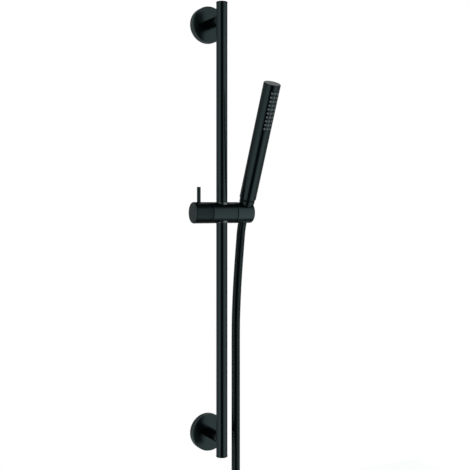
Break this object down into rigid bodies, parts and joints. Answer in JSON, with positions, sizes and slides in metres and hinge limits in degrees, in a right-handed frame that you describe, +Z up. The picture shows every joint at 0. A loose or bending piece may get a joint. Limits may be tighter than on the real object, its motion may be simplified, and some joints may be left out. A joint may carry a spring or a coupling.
{
  "type": "shower slide rail",
  "caption": "Round wall rail on two flanged posts, with a clamping slider, a tilting conical holder, a stick handset and its hose.",
  "frame": {"origin": "on the wall plane, midway between the two wall screws", "axes": "+Z up along the rail, +Y into the wall, +X to the right along the wall, towards the holder"},
  "size_m": [0.1181, 0.1599, 1.1458],
  "materials": {
    "black_coat": "satin black powder coat",
    "black_hose": "smooth black hose",
    "inner_brass": "turned brass, out of sight",
    "inner_steel": "plain steel, out of sight",
    "inner_plastic": "smooth dark moulded plastic",
    "grey_silicone": "soft grey silicone",
    "seal_rubber": "matt black rubber"
  },
  "bodies": {
    "rail": {"rail_tube": "black_coat", "upper_end_cap": "black_coat", "lower_end_cap": "black_coat", "upper_rail_insert": "inner_brass", "lower_rail_insert": "inner_brass", "upper_post": "black_coat", "lower_post": "black_coat", "upper_post_screw": "inner_steel", "lower_post_screw": "inner_steel", "upper_wall_flange": "black_coat", "lower_wall_flange": "black_coat", "upper_wall_boss": "inner_brass", "lower_wall_boss": "inner_brass", "upper_grub_screw": "inner_steel", "lower_grub_screw": "inner_steel", "upper_gasket": "seal_rubber", "lower_gasket": "seal_rubber"},
    "carriage": {"upper_guide_bush": "inner_plastic", "lower_guide_bush": "inner_plastic"},
    "slider": {"slider_body": "black_coat", "knob_snap_ring": "inner_steel", "knob_washer": "seal_rubber", "holder_washer": "seal_rubber", "wave_washer": "inner_steel", "hose_drop": "black_hose", "hose_hank": "black_hose", "hose_tail": "black_hose", "hose_ties": "seal_rubber", "end_nipple": "inner_brass", "end_nut": "black_coat", "end_washer": "seal_rubber"},
    "knob": {"clamp_knob": "black_coat", "knob_collar": "black_coat", "lever_pin": "black_coat"},
    "brake": {"brake_plunger": "inner_steel", "brake_pad": "inner_plastic"},
    "holder": {"holder": "black_coat", "pivot_screw": "inner_steel", "cone_nut": "black_coat", "rim_seal": "seal_rubber", "hose_nipple": "inner_brass", "hose_washer": "seal_rubber", "handset_tube": "black_coat", "top_cap": "black_coat", "spray_insert": "grey_silicone", "water_tube": "inner_plastic", "handset_connector": "inner_brass", "connector_seal": "seal_rubber", "flow_limiter": "grey_silicone", "hose_upper": "black_hose"}
  },
  "joints": [
    {"name": "slider_slide", "type": "slide", "parent": "rail", "child": "carriage", "axis": [0, 0, 1], "range_m": [-0.3367, 0.2833]},
    {"name": "slider_swivel", "type": "hinge", "parent": "carriage", "child": "slider", "pos_m": [0, -0.0575, 0.0267], "axis": [0, 0, 1], "range_deg": [-35, 5]},
    {"name": "holder_tilt", "type": "hinge", "parent": "slider", "child": "holder", "pos_m": [0.0414, -0.0575, 0.0267], "axis": [1, 0, 0], "range_deg": [-24.4, 35.6]},
    {"name": "clamp_turn", "type": "hinge", "parent": "slider", "child": "knob", "pos_m": [-0.03, -0.0575, 0.0267], "axis": [1, 0, 0], "range_deg": [0, 90]},
    {"name": "brake_slide", "type": "slide", "parent": "slider", "child": "brake", "axis": [1, 0, 0], "range_m": [-0.0006, 0]}
  ],
  "couplings": [
    {"joint": "brake_slide", "follows": "clamp_turn", "m_per_rad": -0.0003183}
  ]
}
